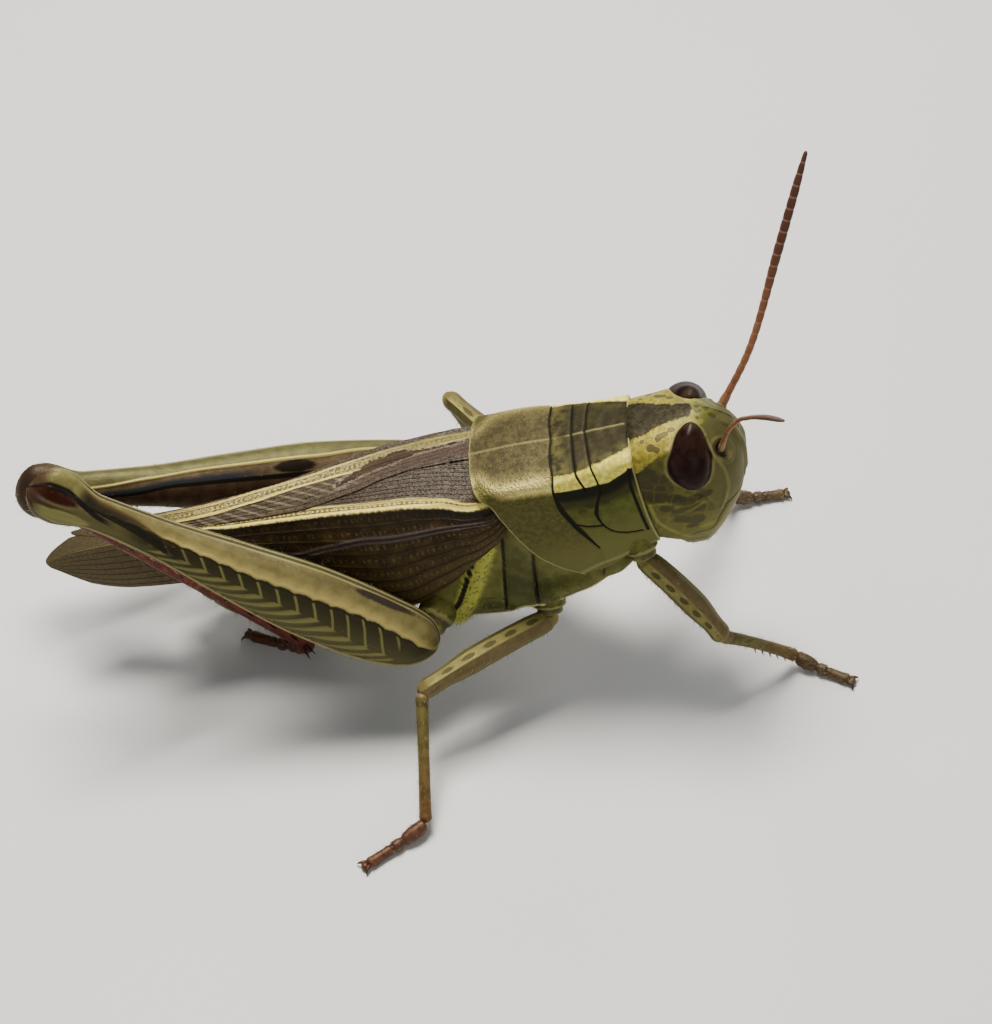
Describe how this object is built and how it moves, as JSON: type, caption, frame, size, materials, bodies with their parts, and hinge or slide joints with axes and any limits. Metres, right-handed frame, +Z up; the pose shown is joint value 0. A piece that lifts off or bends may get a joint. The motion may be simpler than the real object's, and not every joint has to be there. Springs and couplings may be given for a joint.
{
  "type": "two-striped grasshopper",
  "caption": "Still life-size model of an adult two-striped grasshopper standing with wings folded, hind legs drawn up and head raised.",
  "frame": {"origin": "on the floor under the middle of the whole animal, feet, feelers and wing tips included", "axes": "+X towards the head, +Y towards the animal's left, +Z up from the floor"},
  "size_m": [0.0416, 0.0258, 0.0269],
  "materials": {
    "pronotum_shell": "satin olive-bronze shell with yellow stripes and black grooves",
    "head_shell": "satin yellow-green shell with olive markings",
    "eye_maroon": "glossy dark maroon",
    "antenna_rust": "satin rust brown, darker to the tip",
    "thorax_shell": "grainy yellow-green shell with black seams",
    "abdomen_shell": "satin dark olive plates",
    "tegmen_brown": "veined brown wing with yellow lines",
    "leg_olive": "satin olive brown with rows of dark spots",
    "femur_olive": "satin olive with yellow herringbone",
    "tibia_crimson": "glossy crimson with black-tipped spines",
    "tarsus_rust": "satin reddish brown"
  },
  "bodies": {
    "root": {"pronotum": "pronotum_shell", "head": "head_shell", "mouthparts": "head_shell", "eye_left": "eye_maroon", "eye_right": "eye_maroon", "antenna_left": "antenna_rust", "antenna_right": "antenna_rust", "coxa_fore_left": "thorax_shell", "coxa_fore_right": "thorax_shell", "coxa_hind_left": "thorax_shell", "coxa_hind_right": "thorax_shell", "coxa_mid_left": "thorax_shell", "coxa_mid_right": "thorax_shell", "neck": "thorax_shell", "thorax": "thorax_shell", "abdomen_front": "abdomen_shell", "abdomen_middle": "abdomen_shell", "abdomen_rear": "abdomen_shell", "abdomen_tip": "abdomen_shell", "ovipositor_lower": "abdomen_shell", "ovipositor_upper": "abdomen_shell", "tegmen_left": "tegmen_brown", "tegmen_right": "tegmen_brown", "femur_fore_left": "leg_olive", "femur_fore_right": "leg_olive", "femur_mid_left": "leg_olive", "femur_mid_right": "leg_olive", "tibia_fore_left": "leg_olive", "tibia_fore_right": "leg_olive", "tibia_mid_left": "leg_olive", "tibia_mid_right": "leg_olive", "femur_hind_left": "femur_olive", "femur_hind_right": "femur_olive", "tibia_hind_left": "tibia_crimson", "tibia_hind_right": "tibia_crimson", "tarsus_fore_left": "tarsus_rust", "tarsus_fore_right": "tarsus_rust", "tarsus_hind_left": "tarsus_rust", "tarsus_hind_right": "tarsus_rust", "tarsus_mid_left": "tarsus_rust", "tarsus_mid_right": "tarsus_rust"}
  },
  "joints": []
}
